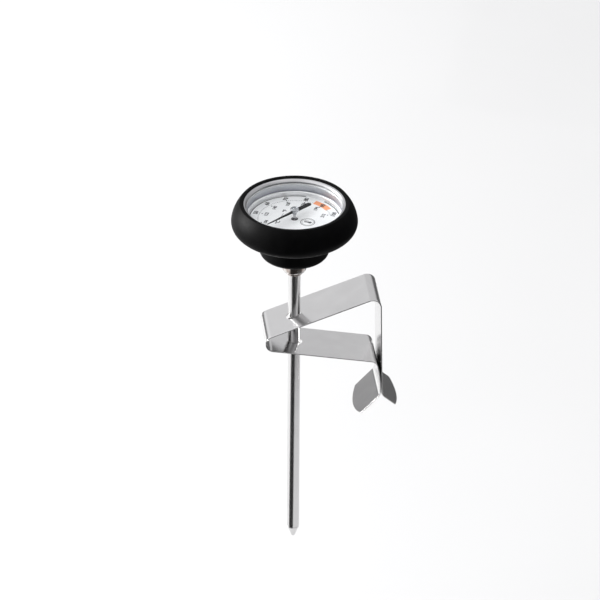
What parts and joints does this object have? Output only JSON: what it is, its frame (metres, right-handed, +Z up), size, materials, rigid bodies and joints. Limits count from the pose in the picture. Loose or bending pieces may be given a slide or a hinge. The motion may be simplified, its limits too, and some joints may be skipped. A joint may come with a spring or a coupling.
{
  "type": "dial thermometer",
  "caption": "Dial thermometer with a pointed probe stem, a rubber-booted round head facing up and a bent sheet-steel spring clip that grips a pot or jug wall.",
  "frame": {"origin": "middle of the clip's jaw line, where its two legs pinch a pot wall", "axes": "+Z up along the stem towards the head, +X from the stem to the jaw"},
  "size_m": [0.0601, 0.045, 0.142],
  "materials": {
    "boot_rubber": "matt moulded silicone with a soft sheen",
    "clip_steel": "satin rolled stainless strip",
    "stem_steel": "polished stainless tube",
    "collar_steel": "polished stainless with a brown heat tint from brazing",
    "bezel_steel": "satin turned ring",
    "case_steel": "drawn stainless",
    "lens_glass": "clear flat glass",
    "gasket_rubber": "thin black seal",
    "sleeve_metal": "satin",
    "clamp_metal": "polished",
    "dial_paint": "white with a printed scale",
    "pointer_paint": "satin black",
    "hub_metal": "polished",
    "shaft_steel": "drawn wire",
    "bush_plastic": "natural moulded",
    "coil_bimetal": "rolled bimetal strip",
    "anchor_brass": "turned"
  },
  "bodies": {
    "clip_frame": {"clip_upper": "clip_steel"},
    "jaw_leg": {"clip_lower": "clip_steel"},
    "thermometer": {"rubber_boot": "boot_rubber", "bezel_ring": "bezel_steel", "lens": "lens_glass", "lens_gasket": "gasket_rubber", "spacer_sleeve": "sleeve_metal", "dial_clamp_ring": "clamp_metal", "dial_plate": "dial_paint", "case_cup": "case_steel", "upper_bush": "bush_plastic", "lower_bush": "bush_plastic", "coil_anchor": "anchor_brass", "bimetal_coil": "coil_bimetal", "stem_tube": "stem_steel", "stem_tip": "stem_steel", "stem_collar": "collar_steel", "collar_ring": "stem_steel"},
    "pointer_set": {"pointer": "pointer_paint", "pointer_hub": "hub_metal", "pointer_shaft": "shaft_steel", "coil_collar": "anchor_brass"}
  },
  "joints": [
    {"name": "stem_slide", "type": "slide", "parent": "clip_frame", "child": "thermometer", "axis": [0, 0, 1], "range_m": [-0.016, 0.075]},
    {"name": "clip_jaw", "type": "hinge", "parent": "clip_frame", "child": "jaw_leg", "pos_m": [-0.0418, 0, 0.0211], "axis": [0, 1, 0], "range_deg": [0, 6], "stiffness_Nm_per_rad": 1.5, "springref_deg": -3.44},
    {"name": "pointer_turn", "type": "hinge", "parent": "thermometer", "child": "pointer_set", "pos_m": [-0.0308, 0, 0.0703], "axis": [0, 0, 1], "range_deg": [-211.4, 88.6], "deforming": ["bimetal_coil"]}
  ]
}
